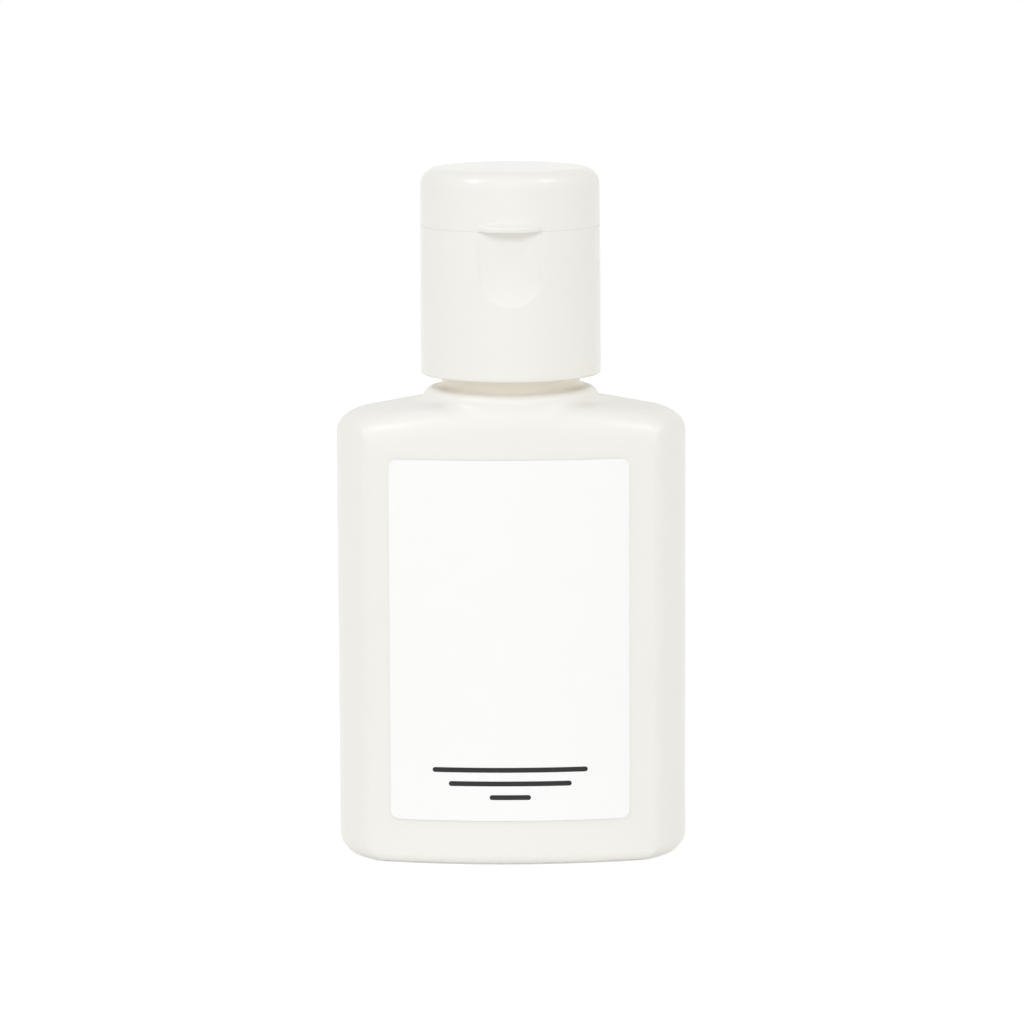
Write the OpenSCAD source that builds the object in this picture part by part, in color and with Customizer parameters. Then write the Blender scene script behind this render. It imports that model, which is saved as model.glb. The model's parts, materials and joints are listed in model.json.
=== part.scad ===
// Pocket lotion bottle with a flip-top screw cap.
// The bottle stands on z = 0 with its middle on the z axis, and its label faces -y.
// All sizes are in millimetres.

/* [Bottle body] */
// Width from side to side
body_w = 35; // [30:0.5:44]
// Distance that the front and back of the body stand out past the cap, at the middle
body_out = 0.35; // [0.2:0.05:2.5]
// Height of the middle of the shoulders above the table
shoulder_h = 46.55; // [40:0.05:70]
// Radius of the bowed front and back walls
front_r = 48.8; // [40:0.1:90]
// Radius of the rounded side walls, past half of the body's depth
side_more = 0.6; // [0.2:0.1:5]
// Radius of the four upright edges
edge_r = 2.2; // [1.2:0.1:2.6]
// Fall of the shoulders towards the sides, in degrees
shoulder_fall = 8.4; // [4:0.1:13]
// Length over which the shoulders bend at the middle
ridge_soft = 2; // [1:0.5:6]
// Radius where the front and back walls turn into the shoulders
shoulder_r = 3; // [2:0.1:3.4]
// Radius where the side walls turn into the shoulders
shoulder_side_r = 1.8; // [1.4:0.1:3.2]
// Radius where the front and back walls turn into the base
heel_r = 1.1; // [0.6:0.1:2]
// Radius where the side walls turn into the base
heel_side_r = 1.7; // [0.8:0.1:2.4]
// Width of the flat ring that the bottle stands on
foot_w = 1.2; // [0.8:0.1:2]
// Height of the hollow under the base
push_up = 0.7; // [0.4:0.1:1.2]
// Thickness of the moulded wall
wall = 1; // [0.8:0.1:1.4]

/* [Neck] */
// Distance that the collar at the foot of the neck lies in from the cap's wall
collar_in = 0.25; // [0.1:0.05:0.8]
// Height of the collar above the middle of the shoulders
collar_h = 0.25; // [0.15:0.05:1.2]
// Radius of the collar's upper edge
collar_r = 0.95; // [0.4:0.05:1.1]
// Distance that the bead between collar and screw finish stands out from the neck
bead_out = 0.35; // [0.2:0.05:0.6]
// Height of the bead
bead_h = 1.9; // [1.4:0.1:2.6]
// Diameter of the screw finish at the root of its thread
finish_d = 13.1; // [12.6:0.1:13.4]
// Height of the neck from the collar to its rim
finish_h = 14.1; // [11:0.1:18]
// Thickness of the neck's wall at the root of its thread
neck_wall = 1.8; // [1.4:0.05:2.1]

/* [Label] */
// Distance from the label's upright edges to the sides of the body, for a label in the middle
label_side = 5.65; // [4.9:0.05:9]
// Distance that the label lies off the middle, towards the right-hand side
label_shift = -0.25; // [-0.3:0.05:0.3]
// Distance from the label's upper edge to the middle of the shoulders
label_top = 5.85; // [5.3:0.05:15]
// Height of the label's lower edge above the table
label_z = 4.6; // [3:0.1:6]
// Radius of the label's corners
label_r = 0.8; // [0.4:0.1:3]
// Thickness of the label film
label_t = 0.12; // [0.08:0.01:0.3]

/* [Cap] */
// Room between the neck and the skirt, which the screw thread fills
thread_room = 0.9; // [0.8:0.05:1.2]
// Thickness of the skirt at its lower edge, at the root of its thread
skirt_t = 1.6; // [1.3:0.05:2.2]
// Narrowing of the cap's wall from its lower edge to the lid
base_draft = 0.08; // [0:0.01:0.3]
// Gap between the collar and the cap's lower edge
skirt_gap = 1.5; // [0.8:0.05:1.8]
// Thickness of the deck that carries the nozzle
deck_t = 1.2; // [1:0.1:2]
// Thickness of the sealing washer
washer_t = 1; // [0.6:0.1:1.6]
// Radius of the chamfer on the skirt's lower edges
skirt_edge = 0.25; // [0.1:0.05:0.4]

/* [Nozzle and seals] */
// Diameter of the hole that the lotion leaves by
orifice_d = 3; // [2.4:0.1:3.6]
// Diameter of the nozzle at its foot
nozzle_d = 5.8; // [5:0.1:7]
// Diameter of the nozzle at its tip
nozzle_tip_d = 4.6; // [4.2:0.1:5]
// Height of the nozzle above the deck
nozzle_h = 1.6; // [1:0.1:2.4]
// Thickness of the plug ring that seals inside the neck
plug_t = 0.8; // [0.6:0.1:1.1]
// Depth of the plug ring below the deck
plug_h = 3; // [2:0.1:4.5]
// Height of the ring that the lid snaps over
seat_h = 0.8; // [0.5:0.1:1.2]
// Thickness of that ring
seat_t = 0.8; // [0.6:0.1:1.2]

/* [Lid] */
// Height of the lid above the base
lid_h = 5.75; // [5:0.05:9]
// Narrowing of the lid's wall from the base to its upper edge
lid_draft = 0.04; // [0:0.01:0.3]
// Radius of the lid's upper edge
lid_edge_r = 1.75; // [0.8:0.05:2.4]
// Thickness of the lid's side wall
lid_wall = 1.35; // [1:0.05:1.6]
// Thickness of the lid's roof
roof_t = 1.2; // [1:0.1:2]
// Depth to which the lid's pin reaches into the nozzle
pin_in = 1.2; // [0.6:0.1:1.4]

/* [Thumb grip] */
// Width of the ledge under the lid's front
ledge_w = 6.3; // [5:0.1:7]
// Distance that the ledge stands out from the lid
ledge_out = 1.2; // [0.8:0.05:1.5]
// Thickness of the ledge at its lip
ledge_t = 0.5; // [0.4:0.05:0.8]
// Radius of the hollow flare above the ledge
ledge_flare = 1.4; // [1:0.1:2]
// Width of the thumb hollow in the cap's front
scoop_w = 6.4; // [5:0.1:7.5]
// Height of the thumb hollow
scoop_h = 7.4; // [6:0.1:9]
// Depth of the thumb hollow
scoop_t = 0.65; // [0.45:0.05:0.8]
// Depth that is left at the foot of the hollow, where its floor has run out
scoop_foot_t = 0.1; // [0.1:0.05:0.4]

/* [Hinge] */
// Width of the hinge film
hinge_w = 6; // [4:0.1:8]
// Distance from the cap's wall to the hinge's axis
hinge_out = 0.5; // [0.45:0.05:0.7]
// Thickness of the hinge film
film_t = 0.25; // [0.2:0.05:0.3]
// Height of the ribs that the film grows from
rib_h = 0.6; // [0.5:0.1:1]

/* [Hidden] */
// Running gaps between pieces
parting_gap = 0.05;
film_gap = 0.02;
label_gap = 0.02;
plug_gap = 0.15;
pin_gap = 0.25;
seat_gap = 0.2;
rim_gap = 0.05;
// Smallest radius that an upright edge keeps as the outline shrinks
least_edge = 1.2;
// Steps along each stretch of a quarter of the outline
side_steps = 6;
edge_steps = 4;
front_steps = 8;
// Steps round the heel, and round the turn into the shoulders
heel_steps = 4;
turn_steps = 7;
// Rings between the turn and the middle of the shoulders
crown_rings = 4;
// Overlap that keeps a cut or a joined shape clear of a shared face
over = 0.5;
$fn = 96;

plastic_white = [0.95, 0.945, 0.925];
paper_white = [1, 1, 1];
foam_white = [0.9, 0.9, 0.88];

// Heights from the table upwards
collar_z = shoulder_h + collar_h;
rim_z = collar_z + finish_h;
deck_z = rim_z + washer_t;
parting_z = deck_z + deck_t;
lid_z = parting_z + parting_gap;
top_z = parting_z + lid_h;
skirt_z = collar_z + skirt_gap;
floor_z = push_up + wall;

// Radii about the neck's axis, from the neck outwards
finish_r = finish_d / 2;
bore_r = finish_r - neck_wall;
bead_r = finish_r + bead_out;
skirt_bore_r = finish_r + thread_room;
cap_r = skirt_bore_r + skirt_t;
cap_top_r = cap_r - base_draft;
lid_top_r = cap_top_r - lid_draft;
collar_out_r = cap_r - collar_in;
lid_in_r = cap_top_r - lid_wall;
seat_r = lid_in_r - seat_gap;
plug_r = bore_r - plug_gap;
orifice_r = orifice_d / 2;
pin_r = orifice_r - pin_gap;

// Depth of the body, radius of its side walls and size of the label
body_d = 2 * (cap_r + body_out);
side_r = body_d / 2 + side_more;
label_w = body_w - 2 * label_side;
label_h = shoulder_h - label_top - label_z;

// The hinge's axis runs along x behind the cap
hinge_y = cap_top_r + hinge_out;
rib_y = cap_top_r + film_gap;

// A list without its last point
function open_end(pts) = [for (i = [0:len(pts) - 2]) pts[i]];

// A list in the other direction
function turned(pts) = [for (i = [len(pts) - 1:-1:0]) pts[i]];

// The next functions shrink the plan outline by d, which is [at front and back, at the sides].
// Centre of the circle that rounds an upright edge of the shrunk outline with radius r.
// It touches the bowed back wall and the rounded side wall from inside.
function edge_centre(d, r) =
    let (
        back = [0, body_d / 2 - front_r],
        side = [body_w / 2 - side_r, 0],
        from_back = front_r - d[0] - r,
        from_side = side_r - d[1] - r,
        gap = norm(side - back),
        along = (side - back) / gap,
        across = [along[1], -along[0]],
        u = (gap * gap + from_back * from_back - from_side * from_side) / (2 * gap)
    )
    back + u * along + sqrt(from_back * from_back - u * u) * across;

// Points on an arc, each with a third number that runs from t0 to t1
function marked_arc(c, r, a0, a1, steps, t0, t1) = [
    for (i = [0:steps])
        let (a = a0 + (a1 - a0) * i / steps)
        [c[0] + r * cos(a), c[1] + r * sin(a), t0 + (t1 - t0) * i / steps]
];

// A quarter of the outline, from the side's middle to the back's middle.
// The third number is 0 on the side wall and 1 on the back wall.
function quarter(d) =
    let (
        r = max(edge_r - (d[0] + d[1]) / 2, least_edge),
        back = [0, body_d / 2 - front_r],
        side = [body_w / 2 - side_r, 0],
        c = edge_centre(d, r),
        a_side = atan2(c[1] - side[1], c[0] - side[0]),
        a_back = atan2(c[1] - back[1], c[0] - back[0])
    )
    concat(
        open_end(marked_arc(side, side_r - d[1], 0, a_side, side_steps, 0, 0)),
        open_end(marked_arc(c, r, a_side, a_back, edge_steps, 0, 1)),
        marked_arc(back, front_r - d[0], a_back, 90, front_steps, 1, 1)
    );

function mirrored(pts, sx, sy) = [for (p = pts) [sx * p[0], sy * p[1], p[2]]];

// The whole outline, anticlockwise from the right-hand side's middle
function outline(d) =
    let (q = quarter(d), back_to_side = turned(q))
    concat(
        open_end(q),
        open_end(mirrored(back_to_side, -1, 1)),
        open_end(mirrored(q, -1, -1)),
        open_end(mirrored(back_to_side, 1, -1))
    );

// Height of the shoulders at a distance x from the middle
function crown(x) =
    shoulder_h - tan(shoulder_fall) * (sqrt(x * x + ridge_soft * ridge_soft) - ridge_soft);

// A ring at heights h above the table, which is [at front and back, at the sides]
function level_ring(d, h) = [for (p = outline(d)) [p[0], p[1], h[1] + (h[0] - h[1]) * p[2]]];

// A ring that follows the shoulders at a drop h below them, drawn in to a share s of its width
function crown_ring(d, h, s = 1) = [
    for (p = outline(d))
        [s * p[0], s * p[1], crown(s * p[0]) - h[1] - (h[0] - h[1]) * p[2]]
];

// Rings that turn from a floor at height z into the walls with radii r, for walls that lie t inside
function heel_rings(z, r, t) = [
    for (i = [0:heel_steps])
        let (a = 90 * i / heel_steps, both = [1, 1])
        level_ring(t * both + r * (1 - sin(a)), z * both + r * (1 - cos(a)))
];

// Rings that turn from the walls into the shoulders with radii r, t inside and t below
function turn_rings(r, t) = [
    for (i = [0:turn_steps])
        let (a = 90 * i / turn_steps, both = [1, 1])
        crown_ring(t * both + r * (1 - cos(a)), t * both + r * (1 - sin(a)))
];

// Rings that carry the shoulders on towards the middle
function crown_rest(d, drop) = [
    for (i = [1:crown_rings])
        crown_ring(d, [drop, drop], 1 - i / (crown_rings + 1))
];

// A closed skin over a stack of rings, with a point at each end
module loft(rings, first, last) {
    n = len(rings[0]);
    count = len(rings);
    points = concat([first], [for (ring = rings) for (p = ring) p], [last]);
    end = len(points) - 1;
    sides = [
        for (i = [0:count - 2])
            for (j = [0:n - 1])
                let (a = 1 + i * n + j, b = 1 + i * n + (j + 1) % n)
                each [[a, a + n, b + n], [a, b + n, b]]
    ];
    bottom = [for (j = [0:n - 1]) [0, 1 + j, 1 + (j + 1) % n]];
    top = [for (j = [0:n - 1]) [end, end - n + (j + 1) % n, end - n + j]];
    polyhedron(points = points, faces = concat(bottom, sides, top));
}

// The body without its neck: standing ring, heel, bowed walls and falling shoulders
module body_skin() {
    heel = [heel_r, heel_side_r];
    turn = [shoulder_r, shoulder_side_r];
    foot_in = heel + [foot_w, foot_w];
    hollow_in = foot_in + [push_up, push_up];
    rings = concat(
        [level_ring(hollow_in, [push_up, push_up]), level_ring(foot_in, [0, 0])],
        heel_rings(0, heel, 0),
        turn_rings(turn, 0),
        crown_rest(turn, 0)
    );
    loft(rings, [0, 0, push_up], [0, 0, crown(0)]);
}

// The space inside the body, one wall thickness in from the skin
module body_space() {
    walls = [wall, wall];
    heel = [heel_r, heel_side_r];
    turn = [shoulder_r, shoulder_side_r] - walls;
    rings = concat(
        heel_rings(floor_z, heel, wall),
        turn_rings(turn, wall),
        crown_rest(walls + turn, wall)
    );
    loft(rings, [0, 0, floor_z], [0, 0, crown(0) - wall]);
}

// A flat half section about the neck's axis: collar, bead and screw finish
module neck_section() {
    root_z = shoulder_h - shoulder_r + over;
    square_between(0, root_z, collar_out_r, collar_z - collar_r);
    square_between(0, root_z, collar_out_r - collar_r, collar_z);
    translate([collar_out_r - collar_r, collar_z - collar_r])
        circle(collar_r);
    square_between(0, root_z, bead_r, collar_z + bead_h);
    square_between(0, root_z, finish_r, rim_z);
}

// A rectangle from one corner to the opposite one
module square_between(x0, y0, x1, y1) {
    translate([x0, y0])
        square([x1 - x0, y1 - y0]);
}

module bottle() {
    color(plastic_white)
    difference() {
        union() {
            body_skin();
            rotate_extrude()
                neck_section();
        }
        body_space();
        translate([0, 0, shoulder_h - shoulder_r])
            cylinder(r = bore_r, h = rim_z - shoulder_h + shoulder_r + over);
    }
}

// A film on the bowed front, cut to a rectangle with round corners
module front_label() {
    skin_r = front_r + label_gap;
    color(paper_white)
    intersection() {
        translate([0, front_r - body_d / 2, label_z])
            difference() {
                cylinder(r = skin_r + label_t, h = label_h, $fn = 360);
                translate([0, 0, -over])
                    cylinder(r = skin_r, h = label_h + 2 * over, $fn = 360);
            }
        translate([label_shift, 0, label_z + label_h / 2])
            rotate([90, 0, 0])
                linear_extrude(body_d)
                    round_rectangle(label_w, label_h, label_r);
    }
}

// A rectangle about the origin with round corners
module round_rectangle(w, h, r) {
    square([w - 2 * r, h], center = true);
    square([w, h - 2 * r], center = true);
    for (x = [-1, 1])
        for (y = [-1, 1])
            translate([x * (w / 2 - r), y * (h / 2 - r)])
                circle(r, $fn = 32);
}

// A foam ring between the rim and the deck
module sealing_washer() {
    color(foam_white)
    translate([0, 0, rim_z])
        difference() {
            cylinder(r = finish_r - rim_gap, h = washer_t);
            translate([0, 0, -over])
                cylinder(r = bore_r + rim_gap, h = washer_t + 2 * over);
        }
}

// A flat half section: skirt, deck, snap ring, nozzle and plug ring
module cap_base_section() {
    plug_in = plug_r - plug_t;
    lead = plug_t / 3;
    polygon([
        [skirt_bore_r + skirt_edge, skirt_z],
        [cap_r - skirt_edge, skirt_z],
        [cap_r, skirt_z + skirt_edge],
        [cap_top_r, parting_z],
        [seat_r, parting_z],
        [seat_r, parting_z + seat_h],
        [seat_r - seat_t, parting_z + seat_h],
        [seat_r - seat_t, parting_z],
        [nozzle_d / 2, parting_z],
        [nozzle_tip_d / 2, parting_z + nozzle_h],
        [orifice_r, parting_z + nozzle_h],
        [orifice_r, deck_z],
        [plug_in, deck_z],
        [plug_in, deck_z - plug_h],
        [plug_r - lead, deck_z - plug_h],
        [plug_r, deck_z - plug_h + 2 * lead],
        [plug_r, deck_z],
        [skirt_bore_r, deck_z],
        [skirt_bore_r, skirt_z + skirt_edge]
    ]);
}

// The thumb hollow: straight sides, a round foot, and a floor that runs out at the foot
module thumb_hollow() {
    floor_y = cap_top_r - scoop_t;
    foot_r = scoop_w / 2;
    foot_z = parting_z - scoop_h + foot_r;
    run = foot_r;
    out = scoop_t - scoop_foot_t;
    sweep_r = (run * run + out * out) / (2 * out);
    bend_z = parting_z - scoop_h + run;
    intersection() {
        rotate([90, 0, 0])
            linear_extrude(cap_r + over) {
                square_between(-foot_r, foot_z, foot_r, parting_z + over);
                translate([0, foot_z])
                    circle(foot_r);
            }
        union() {
            translate([-foot_r, -cap_r - over, bend_z])
                cube([scoop_w, cap_r + over - floor_y, parting_z + over - bend_z]);
            translate([-foot_r, -floor_y - sweep_r, bend_z])
                rotate([0, 90, 0])
                    cylinder(r = sweep_r, h = scoop_w);
        }
    }
}

// A rib across the cap's back that the hinge film grows from, with its lower face at z
module hinge_rib(z) {
    back_in = sqrt(cap_top_r * cap_top_r - hinge_w * hinge_w / 4) - over;
    translate([-hinge_w / 2, back_in, z])
        cube([hinge_w, rib_y - film_gap - back_in, rib_h]);
}

module cap_base() {
    color(plastic_white)
    difference() {
        union() {
            rotate_extrude()
                cap_base_section();
            hinge_rib(parting_z - rib_h);
        }
        thumb_hollow();
    }
}

// The film is folded over when the lid is shut: two short legs and a round back
module living_hinge() {
    leg_z = rib_h / 2 + parting_gap;
    bend_out = leg_z + film_t / 2;
    bend_in = leg_z - film_t / 2;
    color(plastic_white)
    translate([hinge_w / 2, 0, parting_z + parting_gap / 2])
        rotate([90, 0, -90])
            linear_extrude(hinge_w)
                difference() {
                    union() {
                        square_between(-hinge_y, -bend_out, -rib_y, bend_out);
                        translate([-hinge_y, 0])
                            circle(bend_out, $fn = 48);
                    }
                    square_between(-hinge_y, -bend_in, -rib_y + over, bend_in);
                    translate([-hinge_y, 0])
                        circle(bend_in, $fn = 48);
                }
}

// A flat half section of the lid's outside
module lid_section() {
    edge_z = top_z - lid_edge_r;
    polygon([[0, lid_z], [cap_top_r, lid_z], [lid_top_r, edge_z], [0, edge_z]]);
    square_between(0, edge_z - over, lid_top_r - lid_edge_r, top_z);
    translate([lid_top_r - lid_edge_r, edge_z])
        circle(lid_edge_r);
}

// The ledge is a turned lip with a hollow flare above it, set towards the front
module thumb_ledge() {
    reach = cap_top_r + ledge_out;
    half = ledge_w / 2;
    wall_y = sqrt(cap_top_r * cap_top_r - half * half);
    lip_r = ((reach - wall_y) * (reach - wall_y) + half * half) / (2 * (reach - wall_y));
    translate([0, lip_r - reach, lid_z])
        rotate_extrude()
            difference() {
                square([lip_r, ledge_t + ledge_flare]);
                translate([lip_r, ledge_t + ledge_flare])
                    circle(ledge_flare);
            }
}

module cap_lid() {
    roof_z = top_z - roof_t;
    tip_z = parting_z + nozzle_h - pin_in;
    color(plastic_white)
    union() {
        difference() {
            union() {
                rotate_extrude()
                    lid_section();
                thumb_ledge();
                hinge_rib(lid_z);
            }
            translate([0, 0, lid_z - over])
                cylinder(r = lid_in_r, h = roof_z - lid_z + over);
        }
        translate([0, 0, tip_z + pin_gap])
            cylinder(r = pin_r, h = roof_z + over - tip_z - pin_gap);
        translate([0, 0, tip_z])
            cylinder(r1 = pin_r - pin_gap, r2 = pin_r, h = pin_gap);
    }
}

bottle();
front_label();
sealing_washer();
cap_base();
living_hinge();
cap_lid();
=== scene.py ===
"""Finish, light and camera for a pocket lotion bottle with a flip-top screw cap.

The bottle stands on z = 0 with its neck on the z axis, and its label faces -y.
Lengths are in metres, and MM turns a figure in millimetres into one.
"""

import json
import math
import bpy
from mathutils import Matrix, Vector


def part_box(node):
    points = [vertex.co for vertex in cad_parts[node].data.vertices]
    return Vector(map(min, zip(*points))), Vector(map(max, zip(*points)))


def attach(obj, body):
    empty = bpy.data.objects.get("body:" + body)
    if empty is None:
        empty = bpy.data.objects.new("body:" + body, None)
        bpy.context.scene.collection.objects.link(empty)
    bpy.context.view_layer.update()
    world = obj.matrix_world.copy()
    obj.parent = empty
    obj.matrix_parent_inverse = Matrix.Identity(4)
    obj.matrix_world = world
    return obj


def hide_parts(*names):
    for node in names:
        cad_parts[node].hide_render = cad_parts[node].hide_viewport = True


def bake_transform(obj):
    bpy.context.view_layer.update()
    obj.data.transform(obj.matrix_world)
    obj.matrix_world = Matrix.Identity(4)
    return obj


bl_info = {
    "name": "Flip-top lotion bottle",
    "version": (1, 0, 0),
    "blender": (4, 5, 0),
    "location": "View3D > Sidebar > Bottle",
    "description": "Blown bottle, turned cap, hinged lid, label and a plain studio",
    "category": "Add Mesh",
}

import bmesh
import bpy
from bpy.props import FloatProperty, FloatVectorProperty, PointerProperty
from bpy.types import Operator, Panel, PropertyGroup
from mathutils import Quaternion, Vector
from mathutils.bvhtree import BVHTree

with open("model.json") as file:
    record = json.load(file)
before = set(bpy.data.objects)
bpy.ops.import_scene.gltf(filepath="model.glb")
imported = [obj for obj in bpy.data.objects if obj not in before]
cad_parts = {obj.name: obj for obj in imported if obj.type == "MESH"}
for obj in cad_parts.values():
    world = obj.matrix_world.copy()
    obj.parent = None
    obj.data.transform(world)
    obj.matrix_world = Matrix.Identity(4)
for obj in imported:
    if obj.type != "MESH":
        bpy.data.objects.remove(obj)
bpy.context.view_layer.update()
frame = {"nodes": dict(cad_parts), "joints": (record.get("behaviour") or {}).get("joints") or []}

MM = 0.001

bottle_low, bottle_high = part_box("bottle")
label_low, label_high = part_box("front_label")
_, washer_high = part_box("sealing_washer")
base_low, base_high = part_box("cap_base")
lid_low, lid_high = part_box("cap_lid")
film_low, film_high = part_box("living_hinge")
hinge_axis = Vector(next(j["pos_m"] for j in frame["joints"] if j["name"] == "lid_flip"))

# Heights that several pieces share
RIM_Z = bottle_high.z
DECK_Z = washer_high.z
PARTING_Z = 2 * hinge_axis.z - lid_low.z

# Points closer than this are one
SAME_PLACE = 0.0005 * MM
# Points of the cap and lid within this of their widest radius belong to the outer wall
OUTER_SKIN = 0.3 * MM


def linear(hex_value):
    """Linear red, green and blue of an sRGB colour such as F1EFEA."""
    shares = [int(hex_value[i : i + 2], 16) / 255 for i in (0, 2, 4)]
    return [c / 12.92 if c <= 0.04045 else ((c + 0.055) / 1.055) ** 2.4 for c in shares]


def length(name, about, default):
    """A size in metres that the user can set."""
    return FloatProperty(
        name=name, description=about, default=default, min=0.0, precision=5, unit="LENGTH"
    )


def turn_angle(name, about, degrees):
    """An angle that the user can set."""
    return FloatProperty(
        name=name, description=about, default=math.radians(degrees), unit="ROTATION"
    )


def figure(name, about, default):
    """A plain number that the user can set."""
    return FloatProperty(name=name, description=about, default=default, min=0.0)


def colour(name, about, hex_value):
    """A colour that the user can set."""
    return FloatVectorProperty(
        name=name, description=about, default=linear(hex_value), subtype="COLOR", min=0.0, max=1.0
    )


def light_tint(name, about, default):
    """A tint of light that the user can set, as linear shares of red, green and blue."""
    return FloatVectorProperty(name=name, description=about, default=default, subtype="COLOR")


class BodySizes(PropertyGroup):
    """The blown body"""

    width: length("Width", "From side to side", bottle_high.x - bottle_low.x)
    depth: length("Depth", "From front to back", bottle_high.y - bottle_low.y)
    shoulder: length("Shoulder height", "Middle of the shoulders above the table", 46.55 * MM)
    front_radius: length("Front radius", "Radius of the bowed front and back walls", 48.8 * MM)
    side_radius: length("Side radius", "Radius of the rounded side walls", 10 * MM)
    edge_radius: length("Edge radius", "Radius of the four upright edges", 2.2 * MM)
    least_edge: length("Least edge", "Radius that an edge keeps as the plan shrinks", 1.2 * MM)
    fall: turn_angle("Shoulder fall", "Fall of the shoulders towards the sides", 8.4)
    ridge: length("Ridge", "Length over which the shoulders bend at the middle", 2 * MM)
    turn_front: length("Front turn", "Radius where front and back turn into the shoulders", 3 * MM)
    turn_side: length("Side turn", "Radius where the sides turn into the shoulders", 1.8 * MM)
    heel_front: length("Front heel", "Radius where front and back turn into the base", 1.1 * MM)
    heel_side: length("Side heel", "Radius where the sides turn into the base", 1.7 * MM)
    foot: length("Foot", "Width of the ring that the bottle stands on", 1.2 * MM)
    push_up: length("Push-up", "Height of the hollow under the base", 0.7 * MM)
    wall: length("Wall", "Thickness of the blown wall", 1 * MM)


class NeckSizes(PropertyGroup):
    """The collar, the neck and its thread"""

    collar_z: length("Collar height", "Top of the collar above the table", base_low.z - 1.3 * MM)
    collar: length("Collar radius", "Radius of the collar", base_high.x - 0.25 * MM)
    collar_edge: length("Collar edge", "Radius of the collar's upper edge", 1.15 * MM)
    collar_rise: length("Collar rise", "Start of that edge above the shoulder", 0.38 * MM)
    collar_foot: length("Collar foot", "Reach of the hollow between collar and shoulder", 2 * MM)
    foot_room: figure("Foot room", "Share of the way to the wall that the hollow may take", 0.7)
    bead: length("Bead radius", "Radius of the bead above the collar", 6.9 * MM)
    bead_h: length("Bead height", "Height of the bead", 1.7 * MM)
    bead_foot: length("Bead foot", "Radius of the hollow between collar and bead", 0.6 * MM)
    finish: length("Finish radius", "Radius at the root of the thread", washer_high.x + 0.05 * MM)
    bore: length("Bore radius", "Radius of the hole through the neck", 4.75 * MM)
    pitch: length("Pitch", "Rise of the thread in one turn", 25.4 / 12 * MM)
    crest: length("Thread height", "Height of the neck's thread above its root", 0.75 * MM)
    thread_z: length("Thread top", "Upper end of the neck's thread below the rim", 1.5 * MM)
    turns: figure("Turns", "Turns of the thread", 2)


class LabelSizes(PropertyGroup):
    """The label and the plain rules that are printed on it"""

    film: length("Film", "Thickness of the label film", 0.12 * MM)
    gap: length("Gap", "Gap between the label film and the bottle", 0.02 * MM)
    corner: length("Corner", "Radius of the label's corners", 0.8 * MM)
    rule_h: length("Rule height", "Height of the printed rules", 0.5 * MM)
    rule_step: length("Rule spacing", "Distance from one rule to the next", 1.38 * MM)
    rule_z: length("Rule place", "Middle of the rules above the label's lower edge", 3.75 * MM)
    rules: FloatVectorProperty(
        name="Rule lengths",
        description="Lengths of the three printed rules, from the top",
        size=3,
        default=(15.4 * MM, 12.2 * MM, 4.1 * MM),
        unit="LENGTH",
    )


class CapSizes(PropertyGroup):
    """The cap's base: skirt, deck, snap ring and nozzle"""

    bore: length("Skirt bore", "Radius inside the skirt, at the root of its thread", 7.45 * MM)
    edge: length("Lower edge", "Rounding of the skirt's lower edge", 0.25 * MM)
    lead_in: length("Lead-in", "Rounding inside the skirt's lower edge", 0.6 * MM)
    lip: length("Upper edge", "Rounding of the base's upper edge", 0.02 * MM)
    seat: length("Snap ring", "Radius of the ring that the lid snaps over", 7.42 * MM)
    seat_h: length("Snap ring height", "Height of that ring", 0.8 * MM)
    seat_t: length("Snap ring wall", "Thickness of that ring", 0.8 * MM)
    nozzle: length("Nozzle foot", "Radius of the nozzle at its foot", 2.9 * MM)
    nozzle_tip: length("Nozzle tip", "Radius of the nozzle at its tip", 2.3 * MM)
    orifice: length("Orifice", "Radius of the hole that the lotion leaves by", 1.5 * MM)
    plug: length("Plug", "Radius of the ring that seals inside the neck", 4.6 * MM)
    plug_t: length("Plug wall", "Thickness of that ring", 0.8 * MM)
    plug_h: length("Plug depth", "Depth of that ring below the deck", 3 * MM)
    crest: length("Thread height", "Height of the skirt's thread above its root", 0.7 * MM)
    scoop_w: length("Hollow width", "Width of the thumb hollow", 6.4 * MM)
    scoop_h: length("Hollow height", "Height of the thumb hollow", 7.4 * MM)
    scoop_t: length("Hollow depth", "Depth of the thumb hollow", 0.65 * MM)
    scoop_foot: length("Foot depth", "Depth left at the foot of the hollow", 0.1 * MM)
    scoop_soft: length("Hollow edge", "Softness of the thumb hollow's edge", 0.08 * MM)


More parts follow.
